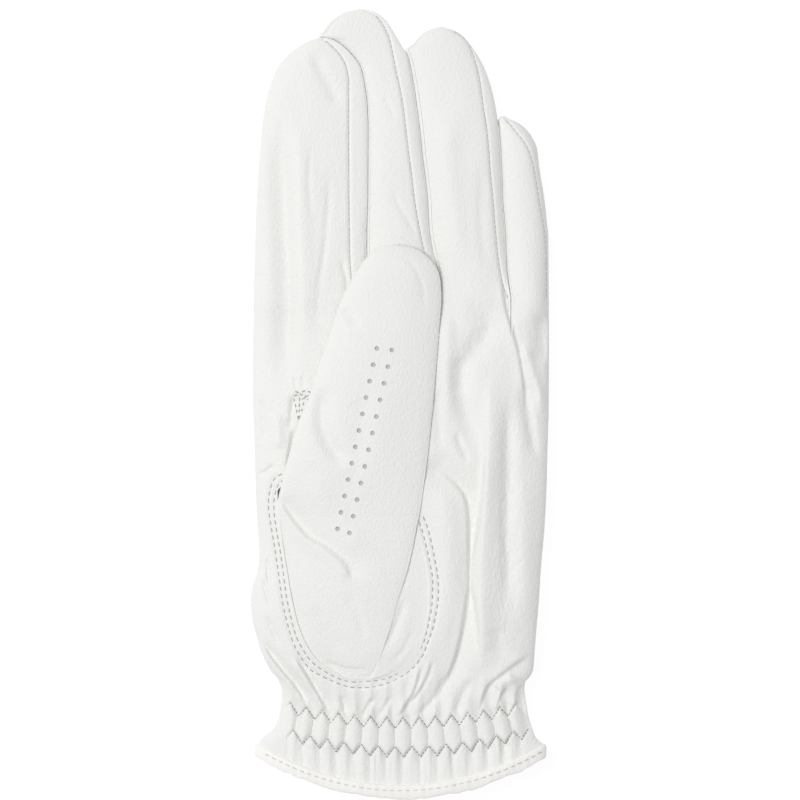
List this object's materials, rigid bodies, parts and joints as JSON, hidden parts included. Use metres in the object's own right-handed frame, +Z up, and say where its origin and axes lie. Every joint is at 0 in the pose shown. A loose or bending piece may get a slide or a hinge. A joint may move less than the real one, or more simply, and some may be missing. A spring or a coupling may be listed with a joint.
{
  "type": "golf glove",
  "caption": "Left-hand golf glove lying palm up, with hinged fingers, a thumb folded over the palm and a hook-and-loop closure tab at the back of the wrist.",
  "frame": {"origin": "centre of the bounding box at its base, the plane that the glove lies on", "axes": "+Y from the wrist to the fingertips, +X across the hand towards the little finger, +Z up, out of the palm"},
  "size_m": [0.0892, 0.2317, 0.0254],
  "materials": {
    "leather": "soft matte white lambskin",
    "edging": "folded leather edging",
    "thread": "white polyester thread",
    "elastic": "woven elastic",
    "hook_and_loop": "hook-and-loop pile"
  },
  "bodies": {
    "hand": {"palm_panel": "leather", "back_panel": "leather", "thumb_base": "leather", "wrist_elastic": "elastic", "cuff_binding": "edging", "slit_binding": "edging", "tab_base": "leather", "loop_patch": "hook_and_loop", "cuff_thread": "thread", "zigzag_upper_thread": "thread", "zigzag_lower_thread": "thread", "thumb_seam_outer_thread": "thread", "thumb_seam_inner_thread": "thread", "side_seam_thread": "thread"},
    "index_finger": {"index_front": "leather", "index_back": "leather", "index_right_fourchette": "leather", "index_seam_thread": "thread"},
    "middle_finger": {"middle_front": "leather", "middle_back": "leather", "middle_right_fourchette": "leather", "middle_left_fourchette": "leather", "middle_seam_thread": "thread"},
    "ring_finger": {"ring_front": "leather", "ring_back": "leather", "ring_right_fourchette": "leather", "ring_left_fourchette": "leather", "ring_seam_thread": "thread"},
    "little_finger": {"little_front": "leather", "little_back": "leather", "little_left_fourchette": "leather", "little_seam_thread": "thread"},
    "thumb": {"thumb_front": "leather", "thumb_back": "leather", "thumb_tip_thread": "thread"},
    "tab": {"closure_tab": "leather", "hook_patch": "hook_and_loop"}
  },
  "joints": [
    {"name": "index_flex", "type": "hinge", "parent": "hand", "child": "index_finger", "pos_m": [-0.026, 0.05, 0.0115], "axis": [1, 0, 0], "range_deg": [0, 90]},
    {"name": "middle_flex", "type": "hinge", "parent": "hand", "child": "middle_finger", "pos_m": [-0.001, 0.05, 0.0115], "axis": [1, 0, 0], "range_deg": [0, 90]},
    {"name": "ring_flex", "type": "hinge", "parent": "hand", "child": "ring_finger", "pos_m": [0.0195, 0.05, 0.0115], "axis": [1, 0, 0], "range_deg": [0, 90]},
    {"name": "little_flex", "type": "hinge", "parent": "hand", "child": "little_finger", "pos_m": [0.0375, 0.05, 0.0115], "axis": [1, 0, 0], "range_deg": [0, 90]},
    {"name": "thumb_swing", "type": "hinge", "parent": "hand", "child": "thumb", "pos_m": [-0.0198, -0.0526, 0.0154], "axis": [0.503, -0.8643, 0], "range_deg": [0, 100]},
    {"name": "tab_open", "type": "hinge", "parent": "hand", "child": "tab", "pos_m": [-0.009, -0.083, 0.0008], "axis": [0, 1, 0], "range_deg": [0, 130]}
  ]
}
